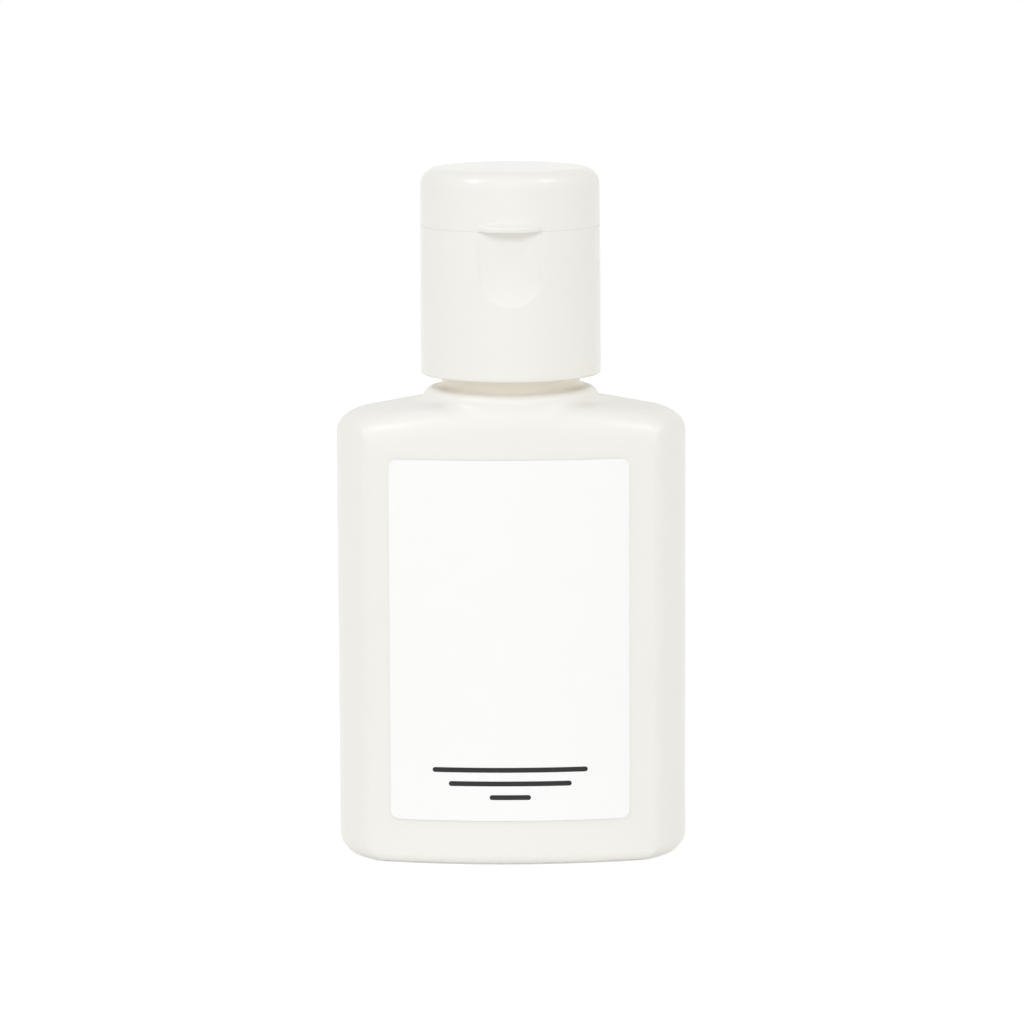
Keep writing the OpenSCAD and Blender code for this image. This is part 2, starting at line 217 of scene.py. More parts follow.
class LidSizes(PropertyGroup):
    """The lid, its thumb ledge and the hinge"""

    top: length("Top radius", "Radius of the lid at its upper edge", lid_high.x - 0.04 * MM)
    edge: length("Upper edge", "Radius of the lid's upper edge", 1.75 * MM)
    wall: length("Wall", "Thickness of the lid's wall", 1.35 * MM)
    roof: length("Roof", "Thickness of the lid's roof", 1.2 * MM)
    pin: length("Pin", "Radius of the pin that shuts the nozzle", 1.25 * MM)
    pin_in: length("Pin depth", "Depth to which the pin reaches into the nozzle", 1.2 * MM)
    pin_lead: length("Pin lead", "Bevel at the tip of the pin", 0.25 * MM)
    ledge_w: length("Ledge width", "Width of the thumb ledge", 6.3 * MM)
    ledge_t: length("Ledge lip", "Thickness of the ledge at its lip", 0.55 * MM)
    flare: length("Ledge flare", "Radius of the hollow flare above the ledge", 1.4 * MM)
    lip_edge: length("Ledge edge", "Rounding of the ledge's lip", 0.3 * MM)
    ledge_soft: length("Ledge root", "Softness of the line where the ledge starts", 0.25 * MM)
    lower_edge: length("Lower edge", "Rounding of the lid's lower edge", 0.02 * MM)
    rib_w: length("Rib width", "Width of the ribs that the hinge film grows from", 6 * MM)
    rib_h: length("Rib height", "Height of those ribs", 0.6 * MM)
    film_t: length("Film", "Thickness of the hinge film", 0.25 * MM)
    film_thin: figure("Film bend", "Share of that thickness at the middle of the bend", 0.6)
    film_root: length("Film root", "Depth to which the film is rooted in the ribs", 0.12 * MM)
    film_taper: length("Film taper", "What each side of the film loses towards the lid", 0.06 * MM)
    shut_gap: length("Shut gap", "Gap between the shut lid and its base", 0.006 * MM)


class Finishes(PropertyGroup):
    """Colours of the plastics, the label and its ink, and the glows painted on the neck and the
    label
    """

    bottle: colour("Bottle", "Blown polyethylene", "FAF9F4")
    # Partly painted light: the neck is warmer than the body, both as thick plastic's own tint and
    # to stand in for warm light that seeps into the shade under the cap
    neck: colour("Neck", "The same polyethylene where it is thick, at the neck", "FCF9F2")
    # Painted glow: warm light that the bead's lower half gives off, standing in for light that
    # seeps into the shaded gap under the cap
    painted_bead_glow: colour("Neck glow", "Light that the thick wall by the collar passes on", "FFDC8C")
    glow_strength_painted: figure("Neck light", "Strength of that light", 0.07)
    cap: colour("Cap", "Moulded polypropylene", "F9F8F3")
    label: colour("Label", "White label film", "FEFEFE")
    # Painted glow: the label film gives off a little light of its own, standing in for its optical
    # brightener
    label_painted_glow: figure("Label light", "Strength of the label's optical brightener", 0.045)
    ink: colour("Ink", "Printed rules", "171717")
    foam: colour("Foam", "Washer foam", "E9E8E2")


class StudioSizes(PropertyGroup):
    """Camera and light"""

    distance: length("Camera distance", "From the camera to its target", 480 * MM)
    target: length("Target height", "Height that the camera looks at", 34.5 * MM)
    rise: turn_angle("Camera rise", "Angle of the camera above the horizon", 8.4)
    roll: turn_angle("Camera roll", "Turn of the camera about its own axis", -0.27)
    lens: figure("Lens", "Focal length in millimetres", 168.26)
    aside: figure("Frame aside", "Shift of the frame across, as a share of its width", 0.0005)
    down: figure("Frame down", "Shift of the frame down, as a share of its width", 0.003)
    lamp_far: length("Lamp distance", "From each softbox to the bottle", 1200 * MM)
    lamp_aside: turn_angle("Lamp aside", "Angle of both small softboxes from the camera", 66)
    lamp_rise: turn_angle("Lamp rise", "Angle of both small softboxes above the horizon", 53)
    lamp_side: length("Lamp size", "Side of both small softboxes", 300 * MM)
    left: figure("Left lamp", "Power of the left softbox", 1.45)
    right: figure("Right lamp", "Power of the right softbox", 1.15)
    front_aside: turn_angle("Front aside", "Angle of the front softbox from the camera", -4)
    front_rise: turn_angle("Front rise", "Angle of the front softbox above the horizon", 28)
    front_side: length("Front size", "Side of the front softbox", 280 * MM)
    front: figure("Front lamp", "Power of the front softbox", 2.5)
    floor: length("Floor", "From the middle of the floor to its sides", 2000 * MM)
    floor_drop: length("Floor drop", "Depth of the paper below the standing ring", 0.02 * MM)
    paper_low: colour("Paper", "Background paper", "EFEFEE")
    paper_high: colour("Paper grain", "Background paper where its grain is lightest", "F1F1F0")
    paper_lift: figure("Paper lift", "Light added to the paper where it is seen", 0.5)
    horizon: figure("Walls", "Strength of the light from the studio's walls", 0.98)
    zenith: figure("Ceiling", "Strength of the light from the studio's ceiling", 0.42)
    front_tint: light_tint("Front light", "Tint of light from the front left", (0.98, 0.99, 1.01))
    back_tint: light_tint("Back light", "Tint of light from the back right", (0.95, 0.92, 0.86))


def loft(rings):
    """A skin over a stack of rings with the same number of points, grown ring by ring."""
    bm = bmesh.new()
    place = bm.verts.layers.int.new("place_in_ring")
    made = bmesh.ops.create_circle(bm, segments=len(rings[0]), radius=1.0)
    for i, vert in enumerate(made["verts"]):
        vert[place] = i
        vert.co = rings[0][i]
    edges = bm.edges[:]
    for ring in rings[1:]:
        grown = bmesh.ops.extrude_edge_only(bm, edges=edges)["geom"]
        edges = [g for g in grown if isinstance(g, bmesh.types.BMEdge)]
        for vert in (g for g in grown if isinstance(g, bmesh.types.BMVert)):
            vert.co = ring[vert[place]]
    return bm


def closed(bm):
    """Merges doubles, so that seams and poles close, and turns the faces outwards."""
    bmesh.ops.remove_doubles(bm, verts=bm.verts, dist=SAME_PLACE)
    bmesh.ops.recalc_face_normals(bm, faces=bm.faces)
    return bm


def piece(bm, name, material):
    """A smooth-shaded object from a bmesh, in its place."""
    mesh = bpy.data.meshes.new(name)
    for face in bm.faces:
        face.smooth = True
    bm.to_mesh(mesh)
    bm.free()
    mesh.materials.append(material)
    made = bpy.data.objects.new(name, mesh)
    bpy.context.scene.collection.objects.link(made)
    return made


def hold_flats(made):
    """Keeps the shading of flat faces flat beside their small rounded edges."""
    made.modifiers.new("Flat faces", "WEIGHTED_NORMAL").weight = 60


def arc(centre, radius, start, end, steps):
    """Points on an arc in a plane, from one angle to another, in radians."""
    angles = [start + (end - start) * i / steps for i in range(steps + 1)]
    x, y = centre[0], centre[1]
    return [Vector((x + radius * math.cos(a), y + radius * math.sin(a))) for a in angles]


def smooth_share(value):
    """0 below 0, 1 above 1, and a smooth rise between them."""
    t = min(max(value, 0.0), 1.0)
    return t * t * (3 - 2 * t)


def swelling(gain, soft):
    """0 below -soft, the gain itself above soft, and a smooth bend between them."""
    return max(gain, 0.0) if abs(gain) >= soft else (gain + soft) ** 2 / (4 * soft)


# The plan of the body. An inset is a pair: at the front and back, and at the sides.
SIDE_STEPS = 8
EDGE_STEPS = 8
FRONT_STEPS = 14


def quarter(body, inset):
    """A quarter of the plan, from the side's middle to the back's. z is the share of back wall."""
    radius = max(body.edge_radius - sum(inset) / 2, body.least_edge)
    back = Vector((0, body.depth / 2 - body.front_radius))
    side = Vector((body.width / 2 - body.side_radius, 0))
    from_back = body.front_radius - inset[0] - radius
    from_side = body.side_radius - inset[1] - radius
    gap = (side - back).length
    along = (side - back) / gap
    across = Vector((along.y, -along.x))
    u = (gap * gap + from_back * from_back - from_side * from_side) / (2 * gap)
    edge = back + along * u + across * math.sqrt(from_back * from_back - u * u)
    side_turn = math.atan2(edge.y - side.y, edge.x - side.x)
    back_turn = math.atan2(edge.y - back.y, edge.x - back.x)
    side_arc = arc(side, body.side_radius - inset[1], 0, side_turn, SIDE_STEPS)[:-1]
    edge_arc = arc(edge, radius, side_turn, back_turn, EDGE_STEPS)[:-1]
    back_arc = arc(back, body.front_radius - inset[0], back_turn, math.pi / 2, FRONT_STEPS)
    shares = [0.0] * SIDE_STEPS
    shares += [i / EDGE_STEPS for i in range(EDGE_STEPS)]
    shares += [1.0] * (FRONT_STEPS + 1)
    return [Vector((p.x, p.y, s)) for p, s in zip(side_arc + edge_arc + back_arc, shares)]


def plan(body, inset):
    """The whole plan, anticlockwise from the right-hand side's middle."""
    there = quarter(body, inset)
    back = there[::-1]
    flips = ((there, 1, 1), (back, -1, 1), (there, -1, -1), (back, 1, -1))
    return [Vector((sx * p.x, sy * p.y, p.z)) for points, sx, sy in flips for p in points[:-1]]


def level_ring(body, inset, heights):
    """A ring of the body at two heights: at the front and back, and at the sides."""
    high, low = heights
    return [Vector((p.x, p.y, low + (high - low) * p.z)) for p in plan(body, inset)]


def crown(body, x):
    """Height of the shoulders at a distance x from the middle."""
    return body.shoulder - math.tan(body.fall) * (math.hypot(x, body.ridge) - body.ridge)


def crown_ring(body, inset, drop, scale=1.0):
    """A ring that follows the shoulders at a drop below them, drawn in to a share of its width."""
    ring = []
    for p in plan(body, inset):
        z = crown(body, scale * p.x) - drop[1] - (drop[0] - drop[1]) * p.z
        ring.append(Vector((scale * p.x, scale * p.y, z)))
    return ring


def circle_ring(directions, radius, z):
    """A round ring whose points lie in given directions."""
    return [Vector((radius * d.x, radius * d.y, z)) for d in directions]


def spaced(start, end, steps):
    """Even steps from start to end, both ends included."""
    return [start + (end - start) * i / steps for i in range(steps + 1)]


def turned_in(radii, a):
    """Inset and drop on a rounded edge, from 0 on the wall to a right angle on top."""
    inset = [r * (1 - math.cos(a)) for r in radii]
    drop = [r * (1 - math.sin(a)) for r in radii]
    return inset, drop


def shoulder_form(body):
    """The shoulders without the neck, as a tree that answers where a plumb line meets them."""
    radii = (body.turn_front, body.turn_side)
    rings = [crown_ring(body, *turned_in(radii, a)) for a in spaced(0, math.pi / 2, 24)]
    rings += [crown_ring(body, radii, (0, 0), s) for s in spaced(0.95, 0.05, 18)]
    form = loft(rings)
    tree = BVHTree.FromBMesh(form)
    form.free()
    return tree


def base_rings(body):
    """From the middle of the base over its hollow and standing ring to the foot of the walls."""
    heel = (body.heel_front, body.heel_side)
    foot_in = [h + body.foot for h in heel]
    hollow_in = [f + body.push_up for f in foot_in]
    rings = []
    for scale in (0.0, 0.3, 0.6, 0.85, 0.95):
        points = plan(body, hollow_in)
        rings.append([Vector((scale * p.x, scale * p.y, body.push_up)) for p in points])
    for down in (0.0, 0.12, 0.5, 0.88):
        inset = [h + (f - h) * down for h, f in zip(hollow_in, foot_in)]
        rings.append(level_ring(body, inset, [body.push_up * (1 - down)] * 2))
    for out in (0.0, 0.12, 0.5, 0.88):
        inset = [f + (h - f) * out for f, h in zip(foot_in, heel)]
        rings.append(level_ring(body, inset, (0, 0)))
    for a in spaced(0, math.pi / 2, 7):
        rise, inset = turned_in(heel, a)
        rings.append(level_ring(body, inset, rise))
    return rings


def wall_rings(body):
    """Up the walls, as far as their turn into the shoulders."""
    low = [body.heel_front, body.heel_side]
    lowest = level_ring(body, (0, 0), low)
    highest = crown_ring(body, (0, 0), (body.turn_front, body.turn_side))
    rings = []
    for up in (0.02, 0.1, 0.3, 0.5, 0.7, 0.9, 0.98, 1.0):
        rings.append([a.lerp(b, up) for a, b in zip(lowest, highest)])
    return rings


# The sine of the steepest angle at which the collar's rounded edge may start
LATEST_START = 0.9


def shoulder_rings(body, neck, directions):
    """Over the shoulders, up the hollow at the foot of the collar, and over the collar's edge."""
    tree = shoulder_form(body)
    high = body.shoulder + 10 * MM

    def on_shoulder(point):
        hit = tree.ray_cast(Vector((point.x, point.y, high)), Vector((0, 0, -1)))[0]
        if hit is None:
            raise ValueError("no shoulder under a point of the collar's ring")
        return hit

    def on_edge(direction, a):
        inset, drop = turned_in((neck.collar_edge,), a)
        return direction * (neck.collar - inset[0]) + Vector((0, 0, neck.collar_z - drop[0]))

    outer = crown_ring(body, (0, 0), (body.turn_front, body.turn_side))
    starts, corner, foot = [], [], []
    for d, wall in zip(directions, outer):
        # The collar's rounded edge starts above the shoulder, which is higher front and back
        ground = on_shoulder(d * neck.collar).z
        rise = ground + neck.collar_rise - neck.collar_z + neck.collar_edge
        a = math.asin(min(max(rise / neck.collar_edge, 0.0), LATEST_START))
        start = on_edge(d, a)
        reach = start.xy.length + (start.z - ground) * math.tan(a)
        # The hollow is narrower there too, where the collar is close to the walls
        room = neck.foot_room * (wall.xy.length - reach)
        starts.append(a)
        corner.append(on_shoulder(d * reach))
        foot.append(d * (reach + room * neck.collar_foot / math.hypot(room, neck.collar_foot)))
    steps = 14
    rings = []
    for i in range(1, steps + 1):
        rings.append([on_shoulder(p.lerp(q, (i / steps) ** 2)) for p, q in zip(outer, foot)])
    ends = (rings[-1], corner, [on_edge(d, a) for d, a in zip(directions, starts)])
    for t in (0.25, 0.5, 0.75):
        rings.append([p.lerp(q, t).lerp(q.lerp(r, t), t) for p, q, r in zip(*ends)])
    for up in spaced(0, 1, 8):
        rings.append([on_edge(d, a + (math.pi / 2 - a) * up) for d, a in zip(directions, starts)])
    return rings


def neck_line(neck):
    """Radii and heights from the collar's top over the bead and the rim and down the bore."""
    small = 0.2 * MM
    bead_z = neck.collar_z + neck.bead_h
    foot = neck.bead_foot
    line = arc((neck.bead + foot, neck.collar_z + foot), foot, -math.pi / 2, -math.pi, 5)
    line += arc((neck.bead - small, bead_z - small), small, 0, math.pi / 2, 3)
    line += arc((neck.finish + small, bead_z + small), small, -math.pi / 2, -math.pi, 3)
    line += [Vector((neck.finish, z)) for z in spaced(bead_z + 3 * MM, RIM_Z - MM, 3)]
    line += arc((neck.finish - small, RIM_Z - small), small, 0, math.pi / 2, 3)
    line += arc((neck.bore + small, RIM_Z - small), small, math.pi / 2, math.pi, 3)
    return line


def inner_rings(body, neck, directions):
    """Down the bore, over the inside of the shoulders and walls to the middle of the floor."""
    both = (body.wall, body.wall)
    turn = (body.turn_front - body.wall, body.turn_side - body.wall)
    heel = (body.heel_front, body.heel_side)
    floor_z = body.push_up + body.wall
    rings = [circle_ring(directions, neck.bore, z) for z in spaced(RIM_Z - MM, body.shoulder, 4)]
    mouth = []
    for d in directions:
        x, y = neck.bore * d.x, neck.bore * d.y
        mouth.append(Vector((x, y, crown(body, x) - body.wall)))
    inside = crown_ring(body, [w + t for w, t in zip(both, turn)], both)
    rings += [[a.lerp(b, out) for a, b in zip(mouth, inside)] for out in (0.0, 0.1, 0.5, 1.0)]
    for a in spaced(math.pi / 2, 0, 4)[1:]:
        inset, drop = ([body.wall + side for side in pair] for pair in turned_in(turn, a))
        rings.append(crown_ring(body, inset, drop))
    for a in spaced(math.pi / 2, 0, 4):
        rise, inset = turned_in(heel, a)
        inset = [body.wall + side for side in inset]
        rings.append(level_ring(body, inset, [floor_z + up for up in rise]))
    last = rings[-1]
    rings += [[Vector((s * p.x, s * p.y, floor_z)) for p in last] for s in (0.6, 0.0)]
    return rings


class BOTTLE_OT_body(Operator):
    """Blow the bottle: base, bowed walls, falling shoulders, collar and neck in one shell"""

    bl_idname = "bottle.body"
    bl_label = "Bottle"

    def execute(self, context):
        body = context.scene.bottle_body
        neck = context.scene.bottle_neck
        directions = [Vector((p.x, p.y, 0)).normalized() for p in plan(body, (0, 0))]
        rings = base_rings(body) + wall_rings(body)
        rings += shoulder_rings(body, neck, directions)
        rings += [circle_ring(directions, p.x, p.y) for p in neck_line(neck)]
        rings += inner_rings(body, neck, directions)
        material = blown_polyethylene(context.scene.bottle_finish, neck)
        shell = piece(closed(loft(rings)), "bottle_shell", material)
        smooth = shell.modifiers.new("Blown curves", "SUBSURF")
        smooth.levels = smooth.render_levels = 1
        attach(shell, "bottle")
        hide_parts("bottle")
        return {"FINISHED"}


# The ridge of a thread: half its width at the root and at the crest, the depth to which it is
# rooted in the wall, and the share of a turn over which it runs out
ROOT_HALF = 0.5 * MM
CREST_HALF = 0.2 * MM
ROOTED = 0.1 * MM
RUN_OUT = 0.22
STEPS_PER_TURN = 48


def thread_ridge(root, crest, top_z, turns, pitch):
    """A helical ridge from a root radius to a crest radius, which runs out at both ends."""
    foot = root + math.copysign(ROOTED, root - crest)
    section = ((foot, -ROOT_HALF), (crest, -CREST_HALF), (crest, CREST_HALF), (foot, ROOT_HALF))
    rings = []
    for step in range(int(STEPS_PER_TURN * turns) + 1):
        done = step / STEPS_PER_TURN
        grown = smooth_share(min(done, turns - done) / RUN_OUT)
        a = math.tau * done
        z = top_z - pitch * (turns - done)
        ring = []
        for radius, up in section:
            r = foot + (radius - foot) * grown
            ring.append(Vector((r * math.sin(a), -r * math.cos(a), z + up * grown)))
        rings.append(ring)
    return closed(loft(rings))


class BOTTLE_OT_threads(Operator):
    """Add the threads on the neck and inside the skirt, which run between each other"""

    bl_idname = "bottle.threads"
    bl_label = "Threads"

    def execute(self, context):
        neck = context.scene.bottle_neck
        cap = context.scene.bottle_cap
        finish = context.scene.bottle_finish
        top_z = RIM_Z - neck.thread_z
        run = (neck.turns, neck.pitch)
        on_neck = thread_ridge(neck.finish, neck.finish + neck.crest, top_z, *run)
        ridge = piece(on_neck, "neck_thread", bpy.data.materials["Blow-moulded polyethylene"])
        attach(ridge, "bottle")
        in_skirt = thread_ridge(cap.bore, cap.bore - cap.crest, top_z - neck.pitch / 2, *run)
        groove = piece(in_skirt, "skirt_thread", moulded_polypropylene(finish))
        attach(groove, "cap")
        return {"FINISHED"}


# The turned pieces start at the front. Their columns are close together there and at the hinge.
FRONT_HALF = math.radians(25)
BACK_HALF = math.radians(21)
SWEEPS = (
    (FRONT_HALF, 52),
    (math.pi - FRONT_HALF - BACK_HALF, 48),
    (2 * BACK_HALF, 44),
    (math.pi - FRONT_HALF - BACK_HALF, 48),
    (FRONT_HALF, 52),
)


def turned(line, is_closed):
    """Rounds the corners of a line of (radius, height, rounding) and spins it round the neck."""
    bm = bmesh.new()
    verts = [bm.verts.new((0, -radius, z)) for radius, z, _ in line]
    ends = verts[1:] + verts[:1] if is_closed else verts[1:]
    for a, b in zip(verts, ends):
        bm.edges.new((a, b))
    round_off = {"segments": 4, "profile": 0.5, "affect": "VERTICES", "material": -1}
    for vert, (_, _, rounding) in zip(verts, line):
        if rounding:
            bmesh.ops.bevel(bm, geom=[vert], offset=rounding, **round_off)
    geom = bm.verts[:] + bm.edges[:]
    about = {"cent": (0, 0, 0), "axis": (0, 0, 1), "use_merge": False}
    for sweep, steps in SWEEPS:
        geom = bmesh.ops.spin(bm, geom=geom, angle=sweep, steps=steps, **about)["geom_last"]
    return closed(bm)


# Roundings at the corners of a moulded piece's profile
CRISP, SLIGHT, EASED, SOFT, ROUND, FULL = (r * MM for r in (0.1, 0.15, 0.2, 0.25, 0.3, 0.5))


def wall_rows(low, high, steps, close_low, close_high):
    """Extra points on the way from one (radius, height) to another, between two shares of it."""
    rows = []
    for s in spaced(close_low, close_high, steps):
        rows.append((low[0] + (high[0] - low[0]) * s, low[1] + (high[1] - low[1]) * s, 0))
    return rows


def draw_radius(vert, radius):
    """Moves a vertex to another radius in its own direction and at its own height."""
    factor = radius / math.hypot(vert.co.x, vert.co.y)
    vert.co.x *= factor
    vert.co.y *= factor


def outer_wall(bm):
    """The vertices of a turned piece that belong to its outer wall."""
    least = lid_high.x - OUTER_SKIN
    return [vert for vert in bm.verts if math.hypot(vert.co.x, vert.co.y) >= least]


def press_thumb_hollow(bm, cap):
    """Presses the thumb hollow into the front of the base: straight sides and a round foot."""
    foot_r = cap.scoop_w / 2
    floor_y = lid_high.x - cap.scoop_t
    bend_z = PARTING_Z - cap.scoop_h + foot_r
    run_out = cap.scoop_t - cap.scoop_foot
    sweep_r = (foot_r * foot_r + run_out * run_out) / (2 * run_out)
    for vert in outer_wall(bm):
        x, y, z = vert.co
        radius = math.hypot(x, y)
        below = max(bend_z - z, 0)
        inside = foot_r - math.hypot(x, below)
        if y > 0 or inside < -MM or z > PARTING_Z + SAME_PLACE:
            continue
        floor = floor_y + sweep_r - math.sqrt(sweep_r * sweep_r - below * below)
        depth = radius - floor * radius / -y
        cut = depth - swelling(depth - inside, cap.scoop_soft)
        draw_radius(vert, radius - swelling(cut, cap.scoop_soft))


def raise_rib(bm, lid, low_z, high_z):
    """Raises the rib across the back that the hinge film grows from."""
    soft = 0.1 * MM
    for vert in outer_wall(bm):
        x, y, z = vert.co
        radius = math.hypot(x, y)
        inside = lid.rib_w / 2 - abs(x)
        if y < 0 or inside <= 0 or not low_z <= z <= high_z:
            continue
        raised = lid_high.x * radius / y
        if raised > radius:
            draw_radius(vert, radius + (raised - radius) * smooth_share(inside / soft))


class BOTTLE_OT_cap_base(Operator):
    """Turn the cap's base and press the thumb hollow into its front"""

    bl_idname = "bottle.cap_base"
    bl_label = "Cap base"

    def execute(self, context):
        cap = context.scene.bottle_cap
        lid = context.scene.bottle_lid
        foot = (base_high.x, base_low.z)
        head = (lid_high.x, PARTING_Z)
        seat_in = cap.seat - cap.seat_t
        plug_in = cap.plug - cap.plug_t
        lead = cap.plug_t / 3
        line = [(cap.bore, base_low.z, cap.lead_in), (*foot, cap.edge)]
        # Rows are close together from a little below the thumb hollow
        low_share = 1 - (cap.scoop_h + 0.4 * MM) / (PARTING_Z - base_low.z)
        line += wall_rows(foot, head, 5, 0.04, low_share - 0.05)
        line += wall_rows(foot, head, 84, low_share, 0.99)
        line += [
            (*head, cap.lip),
            (cap.seat, PARTING_Z, CRISP),
            (cap.seat, PARTING_Z + cap.seat_h, EASED),
            (seat_in, PARTING_Z + cap.seat_h, EASED),
            (seat_in, PARTING_Z, SLIGHT),
            (cap.nozzle, PARTING_Z, ROUND),
            (cap.nozzle_tip, base_high.z, ROUND),
            (cap.orifice, base_high.z, SOFT),
            (cap.orifice, DECK_Z, CRISP),
            (plug_in, DECK_Z, ROUND),
            (plug_in, DECK_Z - cap.plug_h, CRISP),
            (cap.plug - lead, DECK_Z - cap.plug_h, CRISP),
            (cap.plug, DECK_Z - cap.plug_h + 2 * lead, EASED),
            (cap.plug, DECK_Z, CRISP),
            (cap.bore, DECK_Z, ROUND),
        ]
        bm = turned(line, True)
        press_thumb_hollow(bm, cap)
        raise_rib(bm, lid, PARTING_Z - lid.rib_h, PARTING_Z)
        base = piece(bm, "cap_shell", moulded_polypropylene(context.scene.bottle_finish))
        hold_flats(base)
        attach(base, "cap")
        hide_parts("cap_base")
        return {"FINISHED"}


def pull_ledge(bm, lid):
    """Pulls the thumb ledge out of the lid's front: a turned lip with a hollow flare above it."""
    reach = -lid_low.y
    half = lid.ledge_w / 2
    wall_y = math.sqrt(lid_high.x * lid_high.x - half * half)
    out = reach - wall_y
    lip_r = (out * out + half * half) / (2 * out)
    centre = reach - lip_r
    sink = 0.8
    for vert in outer_wall(bm):
        x, y, z = vert.co
        radius = math.hypot(x, y)
        if y > 0:
            continue
        up = z - lid_low.z
        if up < lid.ledge_t:
            # The lip's edges are rounded
            past = max(up - lid.ledge_t + lid.lip_edge, lid.lip_edge / 2 - up, 0)
            lip = lip_r - lid.lip_edge + math.sqrt(max(lid.lip_edge**2 - past * past, 0))
        else:
            # The flare is a quarter of a circle, and above it the ledge sinks into the wall
            rise = min(lid.ledge_t + lid.flare - up, lid.flare - lid.lip_edge / 4)
            lip = lip_r - math.sqrt(lid.flare * lid.flare - max(rise, 0) ** 2)
            lip += sink * min(rise, 0)
            lip = min(lip, lip_r - lid.lip_edge)
        aside = abs(x) / radius
        room = lip * lip - (centre * aside) ** 2
        if room < 0:
            continue
        ledge = centre * math.sqrt(1 - aside * aside) + math.sqrt(room)
        draw_radius(vert, radius + swelling(ledge - lid_high.x, lid.ledge_soft))


class BOTTLE_OT_lid(Operator):
    """Turn the lid with its pin, and pull the thumb ledge out of its front"""

    bl_idname = "bottle.lid"
    bl_label = "Lid"

    def execute(self, context):
        lid = context.scene.bottle_lid
        top_z = lid_high.z
        roof_z = top_z - lid.roof
        inside = lid_high.x - lid.wall
        tip_z = base_high.z - lid.pin_in
        foot = (lid_high.x, PARTING_Z + lid.shut_gap)
        head = (lid.top, top_z - lid.edge)
        line = [(0, top_z, 0)]
        edge = arc((lid.top - lid.edge, head[1]), lid.edge, math.pi / 2, 0, 16)
        line += [(p.x, p.y, 0) for p in edge]
        # Rows are close together where the ledge will be
        line += wall_rows(head, foot, 3, 0.1, 0.28)
        line += wall_rows(head, foot, 38, 0.32, 0.97)
        line += [
            (*foot, lid.lower_edge),
            (inside, foot[1], SLIGHT),
            (inside, roof_z, FULL),
            (lid.pin, roof_z, ROUND),
            (lid.pin, tip_z + lid.pin_lead, CRISP),
            (lid.pin - lid.pin_lead, tip_z, CRISP),
            (0, tip_z, 0),
        ]
        bm = turned(line, False)
        pull_ledge(bm, lid)
        raise_rib(bm, lid, lid_low.z, lid_low.z + lid.rib_h)
        top = piece(bm, "lid_shell", moulded_polypropylene(context.scene.bottle_finish))
        hold_flats(top)
        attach(top, "lid")
        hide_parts("cap_lid")
        return {"FINISHED"}


class BOTTLE_OT_hinge(Operator):
    """Fold the thin film at the back that joins the lid to its base"""

    bl_idname = "bottle.hinge"
    bl_label = "Living hinge"

    def execute(self, context):
        lid = context.scene.bottle_lid
        radius = (film_high.z - film_low.z - lid.film_t) / 2
        axis_y, axis_z = hinge_axis.y, hinge_axis.z
        root = film_low.y - lid.film_root - axis_y
        leg = [Vector((y, -radius)) for y in spaced(root, 0, 4)[:-1]]
        bend = arc((0, 0), radius, -math.pi / 2, math.pi / 2, 20)
        path = leg + bend + [Vector((p.x, radius)) for p in reversed(leg)]
        rings = []
        for i, point in enumerate(path):
            away = point.normalized() if point.x > 0 else Vector((0, math.copysign(1, point.y)))
            along = i / (len(path) - 1)
            # The film is thinnest at the middle of its bend, over a third of its length
            full = smooth_share(abs(along - 0.5) * 3)
            half_t = lid.film_t / 2 * (lid.film_thin + (1 - lid.film_thin) * full)
            inner, outer = point - away * half_t, point + away * half_t
            # It narrows a little towards the lid, so its folds don't lie in one plane
            side = lid.rib_w / 2 - lid.film_taper * along
            corners = ((-side, inner), (side, inner), (side, outer), (-side, outer))
            rings.append([Vector((x, axis_y + p.x, axis_z + p.y)) for x, p in corners])
        bm = loft(rings)
        bmesh.ops.holes_fill(bm, edges=bm.edges[:])
        film = piece(closed(bm), "hinge_film", moulded_polypropylene(context.scene.bottle_finish))
        for face in film.data.polygons:
            face.use_smooth = abs(face.normal.x) < 0.5
        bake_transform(film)
        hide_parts("living_hinge")
        return {"FINISHED"}


class BOTTLE_OT_label(Operator):
    """Cut the label film with round corners and lay it on the bowed front"""

    bl_idname = "bottle.label"
    bl_label = "Label"

    def execute(self, context):
        sizes = context.scene.bottle_label
        body = context.scene.bottle_body
        width, height = label_high.x - label_low.x, label_high.z - label_low.z
        bm = bmesh.new()
        bmesh.ops.create_cube(bm, size=1.0)
        bmesh.ops.scale(bm, vec=(width, sizes.film, height), verts=bm.verts)
        through = [e for e in bm.edges if abs(e.verts[0].co.y - e.verts[1].co.y) > sizes.film / 2]
        rounding = {"segments": 10, "profile": 0.5, "affect": "EDGES", "material": -1}
        bmesh.ops.bevel(bm, geom=through, offset=sizes.corner, **rounding)
        for x in spaced(-width / 2, width / 2, 32)[1:-1]:
            geom = bm.verts[:] + bm.edges[:] + bm.faces[:]
            bmesh.ops.bisect_plane(bm, geom=geom, plane_co=(x, 0, 0), plane_no=(1, 0, 0))
        radius = body.front_radius + sizes.gap + sizes.film / 2
        centre = body.front_radius - body.depth / 2
        aside = (label_low.x + label_high.x) / 2
        for vert in bm.verts:
            turn = math.asin((vert.co.x + aside) / radius)
            out = radius - vert.co.y
            vert.co = Vector((out * math.sin(turn), centre - out * math.cos(turn), vert.co.z))
        bmesh.ops.translate(bm, vec=(0, 0, (label_low.z + label_high.z) / 2), verts=bm.verts)
        film = piece(closed(bm), "label_film", label_film(context.scene.bottle_finish, sizes))
        hold_flats(film)
        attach(film, "bottle")
        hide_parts("front_label")
        return {"FINISHED"}


class BOTTLE_OT_washer(Operator):
    """Give the sealing washer its foam"""

    bl_idname = "bottle.washer"
    bl_label = "Washer"

    def execute(self, context):
        washer = frame["nodes"]["sealing_washer"]
        washer.data.materials.clear()
        washer.data.materials.append(expanded_foam(context.scene.bottle_finish))
        return {"FINISHED"}


